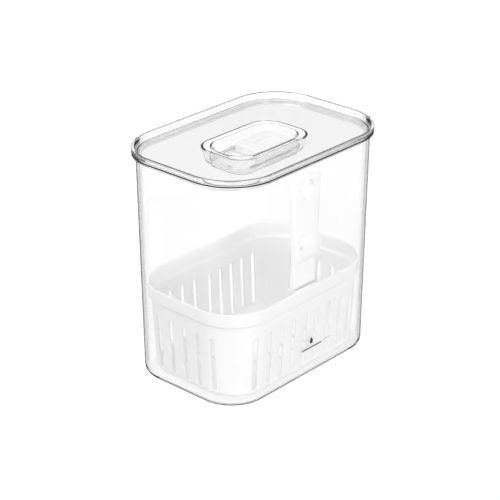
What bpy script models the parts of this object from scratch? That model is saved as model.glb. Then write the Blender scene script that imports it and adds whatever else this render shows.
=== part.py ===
"""Fridge bin with a vented lid, a drain basket and its lift handle.

The frame: the origin is the centre of the bin's base on the surface it stands on, +Z is up,
X runs along the long side and Y along the short side. Lengths are in metres.
The basket's handle stands at the -Y wall, and the vent's slider rests at the +X end of its well.
"""
import math
from collections import namedtuple

import bmesh
import bpy
from mathutils import Vector

MM = 0.001

# A rounded rectangle: half length, half width and corner radius.
Outline = namedtuple("Outline", "half_x half_y radius")

# ---- overall -------------------------------------------------------------------------------
CORNER_STEPS = 7                       # flat facets in each rounded corner
FIT = 0.3 * MM                         # gap between pieces that rest on or fit in each other

# ---- bin -----------------------------------------------------------------------------------
BIN_BASE = Outline(98.0 * MM, 64.9 * MM, 35.5 * MM)    # outer wall, extended to the floor
BIN_MOUTH = Outline(101.5 * MM, 69.3 * MM, 41.4 * MM)  # outer wall at the mouth
BIN_HEIGHT = 209.2 * MM
BIN_WALL = 2.2 * MM
BIN_FLOOR = 2.6 * MM
BIN_EDGE_RADIUS = 4.5 * MM             # outer edge round the base
BIN_INNER_RADIUS = 3.0 * MM
BASE_RECESS = 0.8 * MM                 # hollow under the base, inside its standing ring
BASE_RING_WIDTH = 12.0 * MM
MOUTH_BEAD = 0.6 * MM                  # how far the bead at the mouth stands out
MOUTH_BEAD_HEIGHT = 2.6 * MM

# ---- lid -----------------------------------------------------------------------------------
LID = Outline(105.5 * MM, 72.9 * MM, 46.0 * MM)
LID_TOP = 215.9 * MM
PANEL_TOP = 210.6 * MM
PANEL_BOTTOM = BIN_HEIGHT + FIT
RIM_TOP_WIDTH = 2.3 * MM
RIM_FOOT_WIDTH = 4.3 * MM
RIM_ROUND = 0.3 * MM
RIM_BOTTOM = 208.9 * MM                # foot of the rim's outer face, beside the bin's mouth
RIM_SKIRT_WIDTH = 2.6 * MM
PLUG_BOTTOM = 205.6 * MM               # skirt that drops into the bin's mouth
PLUG_CLEARANCE = 0.7 * MM
PLUG_WALL = 1.9 * MM
PLUG_EDGE = 0.4 * MM
SEAL_GROOVE_LOW = 206.5 * MM
SEAL_GROOVE_HIGH = 208.2 * MM
SEAL_GROOVE_DEPTH = 0.9 * MM
POCKET = Outline(46.5 * MM, 28.5 * MM, 18.7 * MM)      # finger pocket round the vent knob
POCKET_DRAFT = 3.4 * MM
POCKET_FLOOR = 198.4 * MM
POCKET_WALL = 1.8 * MM
POCKET_ROUND = 0.8 * MM

# ---- vent ----------------------------------------------------------------------------------
KNOB_FOOT = Outline(40.5 * MM, 21.8 * MM, 12.6 * MM)
KNOB_TOP = Outline(42.4 * MM, 24.0 * MM, 17.6 * MM)
KNOB_HEIGHT_TOP = 210.5 * MM
KNOB_BOTTOM = 192.3 * MM
KNOB_WALL = 2.0 * MM
KNOB_LIP_WALL = 0.9 * MM               # wall of the neck at the knob's opening
KNOB_LIP = 1.1 * MM                    # the grip lip stands out this far round the top
KNOB_LIP_HEIGHT = 1.4 * MM
KNOB_FOOT_BEAD = 1.2 * MM
KNOB_SNAP_BEAD = 0.7 * MM
KNOB_LEDGE_WIDTH = 2.5 * MM            # ledge inside the knob's foot, which holds the vent base
KNOB_LEDGE_THICKNESS = 1.2 * MM
WELL_STRAIGHT_TOP = 204.6 * MM         # the slider's well has straight walls up to here
VENT_BASE_THICKNESS = 1.5 * MM
VENT_SLOT_XS = (16.5 * MM, 21.0 * MM, 25.5 * MM, 30.0 * MM)
VENT_SLOT_WIDTH = 2.4 * MM
VENT_SLOT_LENGTH = 24.0 * MM
SLIDER_LEFT = -5.5 * MM
SLIDER_TOP = 203.8 * MM
SLIDER_SIDE_GAP = 0.5 * MM
SLIDER_SQUARE_RADIUS = 2.0 * MM
SLIDER_ROUND_RADIUS = 9.6 * MM
SLIDER_EDGE = 0.7 * MM
THUMB_RECESS = Outline(12.0 * MM, 8.0 * MM, 7.9 * MM)
THUMB_RECESS_DEPTH = 1.2 * MM

# ---- basket --------------------------------------------------------------------------------
BASKET_BASE = Outline(88.0 * MM, 57.5 * MM, 33.0 * MM)
BASKET_RIM = Outline(95.4 * MM, 63.9 * MM, 38.5 * MM)
BASKET_BOTTOM = BIN_FLOOR + FIT
BASKET_TOP = 88.4 * MM
BASKET_WALL = 1.6 * MM
BASKET_FLOOR = 2.0 * MM
BASKET_EDGE_RADIUS = 5.0 * MM
RIM_BAND_HEIGHT = 14.6 * MM            # the band round the rim steps out by RIM_BAND_STEP
RIM_BAND_STEP = 2.2 * MM
WALL_SLOT_WIDTH = 5.0 * MM
WALL_SLOT_BOTTOM = 8.5 * MM
WALL_SLOT_TOP = 61.5 * MM
WALL_SLOT_PITCH = 16.0 * MM
LONG_WALL_SLOTS = 9
SHORT_WALL_SLOTS = 5
FLOOR_SLOT_WIDTH = 4.0 * MM
FLOOR_SLOT_LENGTH = 24.0 * MM
FLOOR_SLOT_XS = (-60.0 * MM, -40.0 * MM, -20.0 * MM, 0.0, 20.0 * MM, 40.0 * MM, 60.0 * MM)
FLOOR_SLOT_YS = (-20.0 * MM, 20.0 * MM)

# ---- lift handle and the socket that holds its foot -----------------------------------------
BLADE_FRONT = -57.6 * MM               # outer face of the blade, towards the bin's wall
BLADE_THICKNESS = 3.2 * MM
BLADE_HALF_WIDTH = 14.3 * MM
BLADE_BOTTOM = 81.0 * MM
GRIP_FRONT = -59.7 * MM
GRIP_THICKNESS = 5.2 * MM
GRIP_LOW_HALF_WIDTH = 16.0 * MM
GRIP_HIGH_HALF_WIDTH = 17.9 * MM
GRIP_TOP = 194.3 * MM
GRIP_CORNER_RADIUS = 5.0 * MM
BOSS_FRONT = -63.0 * MM
BOSS_LOW = 112.0 * MM
BOSS_HIGH = 138.6 * MM
FINGER_HOLE_Z = 181.0 * MM
FINGER_HOLE_RADIUS = 9.2 * MM
DIMPLE = Vector((-10.0 * MM, BOSS_FRONT, 127.5 * MM))    # shallow dish in the boss
DIMPLE_RADIUS = 4.6 * MM
DIMPLE_DEPTH = 1.4 * MM
SNAP_HOLE = Vector((-9.2 * MM, BOSS_FRONT, 128.4 * MM))
SNAP_HOLE_RADIUS = 1.7 * MM
SNAP_HOLE_DEPTH = 3.4 * MM
SOCKET_HALF_WIDTH = 16.4 * MM
SOCKET_DEPTH = 5.2 * MM
SOCKET_BACK = -51.6 * MM
SOCKET_MOUTH_WIDENING = 2.0 * MM
SOCKET_MOUTH_DEPTH = 2.8 * MM


# ---- outlines and rings ----------------------------------------------------------------------
def inset(outline, amount):
    """The outline moved inwards by amount, or outwards if it is negative."""
    return Outline(outline.half_x - amount, outline.half_y - amount, outline.radius - amount)


def blend(low, high, share):
    """The outline that lies share of the way from low to high."""
    return Outline(*(a + (b - a) * share for a, b in zip(low, high)))


def ring(outline, z, centre=(0.0, 0.0), steps=CORNER_STEPS):
    """Points round the outline at height z, the same number in each corner."""
    points = []
    corners = ((1, 1, 0), (-1, 1, 90), (-1, -1, 180), (1, -1, 270))
    for side_x, side_y, start in corners:
        corner_x = centre[0] + side_x * (outline.half_x - outline.radius)
        corner_y = centre[1] + side_y * (outline.half_y - outline.radius)
        for step in range(steps + 1):
            angle = math.radians(start + 90 * step / steps)
            x = corner_x + outline.radius * math.cos(angle)
            y = corner_y + outline.radius * math.sin(angle)
            points.append(Vector((x, y, z)))
    return points


def bin_outline(z):
    """The bin's outer wall at height z."""
    return blend(BIN_BASE, BIN_MOUTH, z / BIN_HEIGHT)


def basket_outline(z):
    """The basket's outer wall below the rim band, extended to height z."""
    share = (z - BASKET_BOTTOM) / (BASKET_TOP - BASKET_BOTTOM)
    return blend(BASKET_BASE, inset(BASKET_RIM, RIM_BAND_STEP), share)


# ---- meshes ------------------------------------------------------------------------------------
def extrude_ring(body, verts, points):
    """Extrudes the closed loop of verts and moves the new loop to the points; returns the new loop."""
    edges = [body.edges.get((verts[i - 1], verts[i])) for i in range(len(verts))]
    made = bmesh.ops.extrude_edge_only(body, edges=edges)
    fresh = {item for item in made["geom"] if isinstance(item, bmesh.types.BMVert)}
    loop = []
    for vert, point in zip(verts, points):
        partner = next(edge.other_vert(vert) for edge in vert.link_edges if edge.other_vert(vert) in fresh)
        partner.co = point
        loop.append(partner)
    return loop


def loft(rings, closed):
    """A body through the rings: closed joins the last ring to the first, else both ends are capped."""
    body = bmesh.new()
    first = [body.verts.new(point) for point in rings[0]]
    for i in range(len(first)):
        body.edges.new((first[i - 1], first[i]))
    last = first
    for points in rings[1:]:
        last = extrude_ring(body, last, points)
    if closed:
        last = extrude_ring(body, last, rings[0])
        bmesh.ops.weld_verts(body, targetmap=dict(zip(last, first)))
    else:
        body.faces.new(first)
        body.faces.new(last)
    bmesh.ops.recalc_face_normals(body, faces=body.faces)
    return body


def add_prism(body, points, depth):
    """Adds the closed prism that starts at the flat outline of points and reaches depth further."""
    face = body.faces.new([body.verts.new(point) for point in points])
    made = bmesh.ops.extrude_face_region(body, geom=[face])
    moved = [item for item in made["geom"] if isinstance(item, bmesh.types.BMVert)]
    bmesh.ops.translate(body, verts=moved, vec=depth)
    bmesh.ops.recalc_face_normals(body, faces=body.faces)


def stadium(centre, along, across, length, width, steps=4):
    """Points of a slot with round ends, whose long axis is along, in the plane of along and across."""
    radius = width / 2
    points = []
    for side, start in ((1, -90), (-1, 90)):
        for step in range(steps + 1):
            angle = math.radians(start + 180 * step / steps)
            reach = side * (length / 2 - radius) + radius * math.cos(angle)
            points.append(centre + along * reach + across * radius * math.sin(angle))
    return points


def make_material(name, colour, roughness, alpha=1.0):
    """A plastic with the given colour."""
    material = bpy.data.materials.new(name)
    material.use_nodes = True
    shader = material.node_tree.nodes["Principled BSDF"]
    shader.inputs["Base Color"].default_value = (*colour, 1.0)
    shader.inputs["Roughness"].default_value = roughness
    shader.inputs["Metallic"].default_value = 0.0
    shader.inputs["Alpha"].default_value = alpha
    return material


def make_object(name, body, material, holder):
    """An object from the body, carried by holder, whose place becomes the object's origin."""
    anchor = holder.matrix_world.translation.copy()
    bmesh.ops.translate(body, verts=body.verts, vec=-anchor)
    mesh = bpy.data.meshes.new(name)
    body.to_mesh(mesh)
    body.free()
    mesh.shade_smooth()
    mesh.set_sharp_from_angle(angle=math.radians(35))
    if material is not None:
        mesh.materials.append(material)
    piece = bpy.data.objects.new(name, mesh)
    bpy.context.scene.collection.objects.link(piece)
    piece.parent = holder
    return piece


def make_holder(name, place, parent=None):
    """An empty at a joint's place, which carries the pieces that move together."""
    holder = bpy.data.objects.new(name, None)
    bpy.context.scene.collection.objects.link(holder)
    holder.parent = parent
    origin = parent.matrix_world.translation if parent else Vector()
    holder.location = Vector(place) - origin
    bpy.context.view_layer.update()
    return holder


def combine(piece, body, operation, label):
    """Joins the body to the piece, or cuts it out of the piece, with a Boolean modifier."""
    tool = make_object(piece.name + "_" + label, body, None, piece.parent)
    tool.hide_render = True
    tool.display_type = "WIRE"
    modifier = piece.modifiers.new(label, "BOOLEAN")
    modifier.operation = operation
    modifier.object = tool


# ---- bin ---------------------------------------------------------------------------------------
def bin_body(material, holder):
    """The clear bin: a tapered shell, a recessed base and a bead round its mouth."""
    ring_inner = BIN_EDGE_RADIUS + BASE_RING_WIDTH
    rings = [ring(inset(BIN_BASE, ring_inner + BASE_RECESS), BASE_RECESS),
             ring(inset(BIN_BASE, ring_inner), 0.0)]
    for step in range(5):
        angle = math.radians(90 * step / 4)
        z = BIN_EDGE_RADIUS * (1 - math.cos(angle))
        rings.append(ring(inset(bin_outline(z), BIN_EDGE_RADIUS * (1 - math.sin(angle))), z))
    bead_low = BIN_HEIGHT - MOUTH_BEAD_HEIGHT
    bead_high = BIN_HEIGHT - MOUTH_BEAD
    rings.append(ring(bin_outline(bead_low), bead_low))
    rings.append(ring(inset(BIN_MOUTH, -MOUTH_BEAD), bead_low + MOUTH_BEAD))
    rings.append(ring(inset(BIN_MOUTH, -MOUTH_BEAD), bead_high))
    rings.append(ring(BIN_MOUTH, BIN_HEIGHT))
    rings.append(ring(inset(BIN_MOUTH, BIN_WALL - 0.2 * MM), BIN_HEIGHT))
    rings.append(ring(inset(BIN_MOUTH, BIN_WALL), BIN_HEIGHT - 0.4 * MM))
    for step in range(4):
        angle = math.radians(90 * step / 3)
        z = BIN_FLOOR + BIN_INNER_RADIUS * (1 - math.sin(angle))
        reach = BIN_WALL + BIN_INNER_RADIUS * (1 - math.cos(angle))
        rings.append(ring(inset(bin_outline(z), reach), z))
    return make_object("bin_body", loft(rings, closed=False), material, holder)


# ---- lid ---------------------------------------------------------------------------------------
def plug_outline():
    """The outer face of the skirt that drops into the bin's mouth."""
    return inset(inset(bin_outline(PLUG_BOTTOM), BIN_WALL), PLUG_CLEARANCE)


def lid(material, holder):
    """The clear lid: raised stacking rim, recessed panel, plug skirt and the knob's pocket."""
    opening = inset(KNOB_FOOT, -FIT)
    plug = plug_outline()
    pocket_low = inset(POCKET, POCKET_DRAFT)
    pocket_under = POCKET_FLOOR - POCKET_WALL
    rings = [
        ring(opening, pocket_under),
        ring(inset(pocket_low, 0.6 * MM), pocket_under),
        ring(inset(pocket_low, -POCKET_WALL), pocket_under + 2.0 * MM),
        ring(inset(POCKET, -POCKET_WALL), PANEL_BOTTOM),
        ring(inset(plug, PLUG_WALL), PANEL_BOTTOM),
        ring(inset(plug, PLUG_WALL), PLUG_BOTTOM),
        ring(inset(plug, PLUG_EDGE), PLUG_BOTTOM),
        ring(plug, PLUG_BOTTOM + PLUG_EDGE),
        ring(plug, SEAL_GROOVE_LOW),
        ring(inset(plug, SEAL_GROOVE_DEPTH), SEAL_GROOVE_LOW),
        ring(inset(plug, SEAL_GROOVE_DEPTH), SEAL_GROOVE_HIGH),
        ring(plug, SEAL_GROOVE_HIGH),
        ring(plug, PANEL_BOTTOM),
        ring(inset(LID, RIM_SKIRT_WIDTH), PANEL_BOTTOM),
        ring(inset(LID, RIM_SKIRT_WIDTH), RIM_BOTTOM),
        ring(inset(LID, RIM_ROUND), RIM_BOTTOM),
        ring(LID, RIM_BOTTOM + RIM_ROUND),
        ring(LID, LID_TOP - RIM_ROUND),
        ring(inset(LID, RIM_ROUND), LID_TOP),
        ring(inset(LID, RIM_TOP_WIDTH - RIM_ROUND), LID_TOP),
        ring(inset(LID, RIM_TOP_WIDTH), LID_TOP - RIM_ROUND),
        ring(inset(LID, RIM_FOOT_WIDTH), PANEL_TOP + 0.6 * MM),
        ring(inset(LID, RIM_FOOT_WIDTH + 0.6 * MM), PANEL_TOP),
        ring(inset(POCKET, -POCKET_ROUND), PANEL_TOP),
        ring(POCKET, PANEL_TOP - POCKET_ROUND),
        ring(pocket_low, POCKET_FLOOR + POCKET_ROUND),
        ring(inset(pocket_low, POCKET_ROUND), POCKET_FLOOR),
        ring(opening, POCKET_FLOOR),
    ]
    return make_object("lid", loft(rings, closed=True), material, holder)


def lid_seal(material, holder):
    """The soft clear ring in the plug's groove, which meets the bin's inner wall."""
    low = SEAL_GROOVE_LOW + FIT
    high = SEAL_GROOVE_HIGH - FIT
    inner = inset(plug_outline(), SEAL_GROOVE_DEPTH - FIT)
    outer = inset(plug_outline(), FIT - PLUG_CLEARANCE)
    shoulder = inset(outer, 0.5 * MM)
    middle = (low + high) / 2
    rings = [
        ring(inner, low),
        ring(shoulder, low),
        ring(outer, middle - 0.3 * MM),
        ring(outer, middle + 0.3 * MM),
        ring(shoulder, high),
        ring(inner, high),
    ]
    return make_object("lid_seal", loft(rings, closed=True), material, holder)


# ---- vent --------------------------------------------------------------------------------------
def vent_housing(material, holder):
    """The clear hollow knob: it snaps into the pocket's floor and forms the slider's well."""
    well = inset(KNOB_FOOT, KNOB_WALL)
    seat = POCKET_FLOOR + FIT
    under = POCKET_FLOOR - POCKET_WALL - FIT
    lip_low = KNOB_HEIGHT_TOP - KNOB_LIP_HEIGHT
    neck = inset(KNOB_TOP, KNOB_LIP)
    rings = [
        ring(inset(well, KNOB_LEDGE_WIDTH), KNOB_BOTTOM),
        ring(inset(KNOB_FOOT, 0.4 * MM), KNOB_BOTTOM),
        ring(KNOB_FOOT, KNOB_BOTTOM + 0.4 * MM),
        ring(KNOB_FOOT, under - 2 * KNOB_SNAP_BEAD),
        ring(inset(KNOB_FOOT, -KNOB_SNAP_BEAD), under - 0.4 * MM),
        ring(inset(KNOB_FOOT, -KNOB_SNAP_BEAD), under),
        ring(KNOB_FOOT, under),
        ring(KNOB_FOOT, seat),
        ring(inset(KNOB_FOOT, -KNOB_FOOT_BEAD), seat),
        ring(inset(KNOB_FOOT, -KNOB_FOOT_BEAD), seat + 0.5 * MM),
        ring(KNOB_FOOT, seat + KNOB_FOOT_BEAD + 0.3 * MM),
        ring(neck, lip_low - KNOB_LIP),
        ring(inset(KNOB_TOP, 0.2 * MM), lip_low),
        ring(KNOB_TOP, lip_low + 0.4 * MM),
        ring(KNOB_TOP, KNOB_HEIGHT_TOP - 0.4 * MM),
        ring(inset(KNOB_TOP, 0.4 * MM), KNOB_HEIGHT_TOP),
        ring(inset(neck, KNOB_LIP_WALL), KNOB_HEIGHT_TOP),
        ring(inset(neck, KNOB_LIP_WALL + 0.2 * MM), KNOB_HEIGHT_TOP - 0.4 * MM),
        ring(well, WELL_STRAIGHT_TOP),
        ring(well, KNOB_BOTTOM + KNOB_LEDGE_THICKNESS),
        ring(inset(well, KNOB_LEDGE_WIDTH), KNOB_BOTTOM + KNOB_LEDGE_THICKNESS),
    ]
    return make_object("vent_housing", loft(rings, closed=True), material, holder)


def vent_base_top():
    """Height of the vent base's upper face, which the slider rides on."""
    return KNOB_BOTTOM + KNOB_LEDGE_THICKNESS + FIT + VENT_BASE_THICKNESS


def vent_base(material, holder):
    """The white plate at the well's foot, with air slots at its +X end."""
    plate = inset(KNOB_FOOT, KNOB_WALL + FIT)
    low = vent_base_top() - VENT_BASE_THICKNESS
    rings = [ring(plate, low), ring(plate, vent_base_top())]
    piece = make_object("vent_base", loft(rings, closed=False), material, holder)
    cutter = bmesh.new()
    for x in VENT_SLOT_XS:
        centre = Vector((x, 0.0, low - 1.0 * MM))
        points = stadium(centre, Vector((0, 1, 0)), Vector((1, 0, 0)), VENT_SLOT_LENGTH, VENT_SLOT_WIDTH)
        add_prism(cutter, points, Vector((0, 0, VENT_BASE_THICKNESS + 2.0 * MM)))
    combine(piece, cutter, "DIFFERENCE", "air_slots")
    return piece


def slider_ring(inset_by, z):
    """The slider's plan at height z: square at its left end, round at its right end."""
    well = inset(KNOB_FOOT, KNOB_WALL)
    right = well.half_x - SLIDER_SIDE_GAP - inset_by
    left = SLIDER_LEFT + inset_by
    half_y = well.half_y - SLIDER_SIDE_GAP - inset_by
    points = []
    corners = ((right, half_y, SLIDER_ROUND_RADIUS, 0), (left, half_y, SLIDER_SQUARE_RADIUS, 90),
               (left, -half_y, SLIDER_SQUARE_RADIUS, 180), (right, -half_y, SLIDER_ROUND_RADIUS, 270))
    for end_x, end_y, full_radius, start in corners:
        radius = full_radius - inset_by
        corner_x = end_x - math.copysign(radius, end_x - (left + right) / 2)
        corner_y = end_y - math.copysign(radius, end_y)
        for step in range(CORNER_STEPS + 1):
            angle = math.radians(start + 90 * step / CORNER_STEPS)
            x = corner_x + radius * math.cos(angle)
            y = corner_y + radius * math.sin(angle)
            points.append(Vector((x, y, z)))
    return points


def vent_slider(material, holder):
    """The white block that covers the air slots; a thumb recess in its top slides it along -X."""
    low = vent_base_top() + FIT
    rings = [
        slider_ring(0.3 * MM, low),
        slider_ring(0.0, low + 0.3 * MM),
        slider_ring(0.0, SLIDER_TOP - SLIDER_EDGE),
        slider_ring(0.3 * SLIDER_EDGE, SLIDER_TOP - 0.3 * SLIDER_EDGE),
        slider_ring(SLIDER_EDGE, SLIDER_TOP),
    ]
    piece = make_object("vent_slider", loft(rings, closed=False), material, holder)
    centre = (SLIDER_LEFT + inset(KNOB_FOOT, KNOB_WALL).half_x) / 2
    deep = SLIDER_TOP - THUMB_RECESS_DEPTH
    high = SLIDER_TOP + 1.0 * MM
    rings = [
        ring(inset(THUMB_RECESS, 1.5 * MM), deep, (centre, 0.0)),
        ring(inset(THUMB_RECESS, 0.4 * MM), deep + 0.5 * MM, (centre, 0.0)),
        ring(THUMB_RECESS, high, (centre, 0.0)),
    ]
    combine(piece, loft(rings, closed=False), "DIFFERENCE", "thumb_recess")
    return piece


# ---- basket ------------------------------------------------------------------------------------
def basket_shell():
    """The basket without its slots: tapered walls with a stepped band round the rim."""
    rings = []
    for step in range(4):
        angle = math.radians(90 * step / 3)
        z = BASKET_BOTTOM + BASKET_EDGE_RADIUS * (1 - math.cos(angle))
        rings.append(ring(inset(basket_outline(z), BASKET_EDGE_RADIUS * (1 - math.sin(angle))), z))
    band_low = BASKET_TOP - RIM_BAND_HEIGHT
    rings.append(ring(basket_outline(band_low), band_low))
    rings.append(ring(inset(basket_outline(band_low), -RIM_BAND_STEP), band_low + RIM_BAND_STEP))
    rings.append(ring(BASKET_RIM, BASKET_TOP - 0.5 * MM))
    rings.append(ring(inset(BASKET_RIM, 0.5 * MM), BASKET_TOP))
    rings.append(ring(inset(BASKET_RIM, BASKET_WALL - 0.5 * MM), BASKET_TOP))
    rings.append(ring(inset(BASKET_RIM, BASKET_WALL), BASKET_TOP - 0.5 * MM))
    ledge = band_low + 0.41 * BASKET_WALL          # the sloping ledge keeps the wall's thickness
    rings.append(ring(inset(basket_outline(band_low), BASKET_WALL - RIM_BAND_STEP), ledge + RIM_BAND_STEP))
    rings.append(ring(inset(basket_outline(band_low), BASKET_WALL), ledge))
    inner_radius = BASKET_EDGE_RADIUS - BASKET_WALL
    for step in range(4):
        angle = math.radians(90 * step / 3)
        z = BASKET_BOTTOM + BASKET_FLOOR + inner_radius * (1 - math.sin(angle))
        reach = BASKET_WALL + inner_radius * (1 - math.cos(angle))
        rings.append(ring(inset(basket_outline(z), reach), z))
    return loft(rings, closed=False)


def slot_cutters():
    """Prisms for the slots in the four walls and in the floor."""
    cutter = bmesh.new()
    up = Vector((0, 0, 1))
    length = WALL_SLOT_TOP - WALL_SLOT_BOTTOM
    middle = (WALL_SLOT_TOP + WALL_SLOT_BOTTOM) / 2
    rim = BASKET_RIM
    walls = ((LONG_WALL_SLOTS, Vector((1, 0, 0)), Vector((0, 1, 0)), rim.half_y),
             (SHORT_WALL_SLOTS, Vector((0, 1, 0)), Vector((1, 0, 0)), rim.half_x))
    for count, along, outwards, reach in walls:
        for index in range(count):
            offset = (index - (count - 1) / 2) * WALL_SLOT_PITCH
            for side in (1, -1):
                start = reach * 0.78
                centre = along * offset + outwards * side * start + up * middle
                points = stadium(centre, up, along, length, WALL_SLOT_WIDTH)
                add_prism(cutter, points, outwards * side * (reach + 2 * MM - start))
    for x in FLOOR_SLOT_XS:
        for y in FLOOR_SLOT_YS:
            centre = Vector((x, y, BASKET_BOTTOM - 1.0 * MM))
            points = stadium(centre, Vector((0, 1, 0)), Vector((1, 0, 0)), FLOOR_SLOT_LENGTH, FLOOR_SLOT_WIDTH)
            add_prism(cutter, points, up * (BASKET_FLOOR + 2.0 * MM))
    return cutter


def socket_block():
    """The ledge inside the rim that takes the handle's foot, with a sloping underside."""
    band_inner = -(BASKET_RIM.half_y - BASKET_WALL / 2)
    low = BASKET_TOP - SOCKET_DEPTH
    profile = ((band_inner, low - 6.0 * MM), (SOCKET_BACK - 2.0 * MM, low), (SOCKET_BACK, low),
               (SOCKET_BACK, BASKET_TOP - 0.4 * MM), (SOCKET_BACK - 0.4 * MM, BASKET_TOP),
               (band_inner, BASKET_TOP))
    body = bmesh.new()
    points = [Vector((-SOCKET_HALF_WIDTH, y, z)) for y, z in profile]
    add_prism(body, points, Vector((2 * SOCKET_HALF_WIDTH, 0, 0)))
    return body


def socket_hole():
    """The slot through the ledge, widened at its mouth along the handle's outer face."""
    front = BLADE_FRONT - FIT
    back = BLADE_FRONT + BLADE_THICKNESS + FIT
    half = BLADE_HALF_WIDTH + FIT
    high = BASKET_TOP + 1.0 * MM
    profile = ((front, BASKET_TOP - SOCKET_DEPTH - 12.0 * MM), (back, BASKET_TOP - SOCKET_DEPTH - 12.0 * MM),
               (back, high), (front - SOCKET_MOUTH_WIDENING, high),
               (front - SOCKET_MOUTH_WIDENING, BASKET_TOP - SOCKET_MOUTH_DEPTH),
               (front, BASKET_TOP - SOCKET_MOUTH_DEPTH - SOCKET_MOUTH_WIDENING))
    body = bmesh.new()
    points = [Vector((-half, y, z)) for y, z in profile]
    add_prism(body, points, Vector((2 * half, 0, 0)))
    return body


def basket(material, holder):
    """The white drain basket with the handle's socket on its -Y wall."""
    piece = make_object("basket", basket_shell(), material, holder)
    combine(piece, slot_cutters(), "DIFFERENCE", "slots")
    combine(piece, socket_block(), "UNION", "socket")
    combine(piece, socket_hole(), "DIFFERENCE", "socket_hole")
    return piece


# ---- lift handle ---------------------------------------------------------------------------------
def handle_section(front, back, half_width, z):
    """A flat rounded bar's section at height z."""
    outline = Outline(half_width, (back - front) / 2, 0.9 * MM)
    return ring(outline, z, (0.0, (front + back) / 2), steps=2)


def lift_handle(material, holder):
    """The white strip that plugs into the basket: blade, boss and a grip with a finger hole."""
    blade_back = BLADE_FRONT + BLADE_THICKNESS
    grip_back = GRIP_FRONT + GRIP_THICKNESS
    boss_depth = BLADE_FRONT - BOSS_FRONT
    boss_height = BOSS_HIGH - BOSS_LOW
    rings = [
        handle_section(BLADE_FRONT + 0.4 * MM, blade_back - 0.4 * MM, BLADE_HALF_WIDTH - 0.7 * MM, BLADE_BOTTOM),
        handle_section(BLADE_FRONT, blade_back, BLADE_HALF_WIDTH, BLADE_BOTTOM + 1.0 * MM),
        handle_section(BLADE_FRONT, blade_back, BLADE_HALF_WIDTH, BOSS_LOW),
    ]
    boss_steps = 10
    for step in range(1, boss_steps):
        share = step / boss_steps
        bulge = math.sin(math.pi * share) ** 0.55 * (1 - 0.25 * share)
        front = BLADE_FRONT + (GRIP_FRONT - BLADE_FRONT) * share - boss_depth * bulge * (1 - 0.38 * share)
        half_width = BLADE_HALF_WIDTH + (GRIP_LOW_HALF_WIDTH - BLADE_HALF_WIDTH) * share ** 0.5
        back = blade_back + (grip_back - blade_back) * share
        rings.append(handle_section(max(front, BOSS_FRONT), back, half_width, BOSS_LOW + boss_height * share))
    rings.append(handle_section(GRIP_FRONT, grip_back, GRIP_LOW_HALF_WIDTH, BOSS_HIGH))
    corner_start = GRIP_TOP - GRIP_CORNER_RADIUS
    for step in range(6):
        angle = math.radians(90 * step / 5)
        half_width = GRIP_HIGH_HALF_WIDTH - GRIP_CORNER_RADIUS * (1 - math.cos(angle))
        z = corner_start + GRIP_CORNER_RADIUS * math.sin(angle)
        rings.append(handle_section(GRIP_FRONT, grip_back, half_width, z))
    piece = make_object("lift_handle", loft(rings, closed=False), material, holder)
    hole = bmesh.new()
    points = []
    for step in range(24):
        angle = math.radians(15 * step)
        x = FINGER_HOLE_RADIUS * math.cos(angle)
        z = FINGER_HOLE_Z + FINGER_HOLE_RADIUS * math.sin(angle)
        points.append(Vector((x, GRIP_FRONT - 2.0 * MM, z)))
    add_prism(hole, points, Vector((0, GRIP_THICKNESS + 4.0 * MM, 0)))
    combine(piece, hole, "DIFFERENCE", "finger_hole")
    dish = bmesh.new()
    bmesh.ops.create_uvsphere(dish, u_segments=20, v_segments=10, radius=DIMPLE_RADIUS)
    bmesh.ops.scale(dish, verts=dish.verts, vec=(1.0, DIMPLE_DEPTH / DIMPLE_RADIUS, 1.0))
    bmesh.ops.translate(dish, verts=dish.verts, vec=DIMPLE)
    combine(piece, dish, "DIFFERENCE", "dimple")
    snap = bmesh.new()
    points = []
    for step in range(12):
        angle = math.radians(30 * step)
        x = SNAP_HOLE_RADIUS * math.cos(angle)
        z = SNAP_HOLE_RADIUS * math.sin(angle)
        points.append(SNAP_HOLE + Vector((x, -1.0 * MM, z)))
    add_prism(snap, points, Vector((0, SNAP_HOLE_DEPTH + 1.0 * MM, 0)))
    combine(piece, snap, "DIFFERENCE", "snap_hole")
    return piece


def main():
    """Clears the scene and builds every piece."""
    for item in list(bpy.data.objects):
        bpy.data.objects.remove(item, do_unlink=True)
    clear = make_material("clear_plastic", (0.93, 0.94, 0.94), 0.04, 0.25)
    lid_clear = make_material("lid_clear_plastic", (0.92, 0.93, 0.93), 0.04, 0.3)
    knob_clear = make_material("knob_clear_plastic", (0.93, 0.94, 0.94), 0.05, 0.3)
    silicone = make_material("clear_silicone", (0.9, 0.9, 0.9), 0.35, 0.6)
    basket_white = make_material("basket_white_plastic", (0.93, 0.93, 0.93), 0.35)
    handle_white = make_material("handle_white_plastic", (0.94, 0.94, 0.94), 0.35)
    vent_white = make_material("vent_white_plastic", (0.92, 0.92, 0.92), 0.35)
    slider_white = make_material("slider_white_plastic", (0.94, 0.94, 0.94), 0.35)

    stand = make_holder("stand", (0, 0, 0))
    basket_lift = make_holder("basket_lift", (0, 0, BASKET_BOTTOM), stand)
    lid_lift = make_holder("lid_lift", (0, 0, PANEL_BOTTOM), basket_lift)
    vent_slide = make_holder("vent_slide", (SLIDER_LEFT, 0, vent_base_top()), lid_lift)

    bin_body(clear, stand)
    basket(basket_white, basket_lift)
    lift_handle(handle_white, basket_lift)
    lid(lid_clear, lid_lift)
    lid_seal(silicone, lid_lift)
    vent_housing(knob_clear, lid_lift)
    vent_base(vent_white, lid_lift)
    vent_slider(slider_white, vent_slide)


main()
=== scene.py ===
"""Studio scene for the fridge bin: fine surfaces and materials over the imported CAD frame.

Lengths are in metres, in the frame of the CAD: the origin is the centre of the base, +Z is up and X runs
along the long side.
"""

import math
from collections import namedtuple

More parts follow.
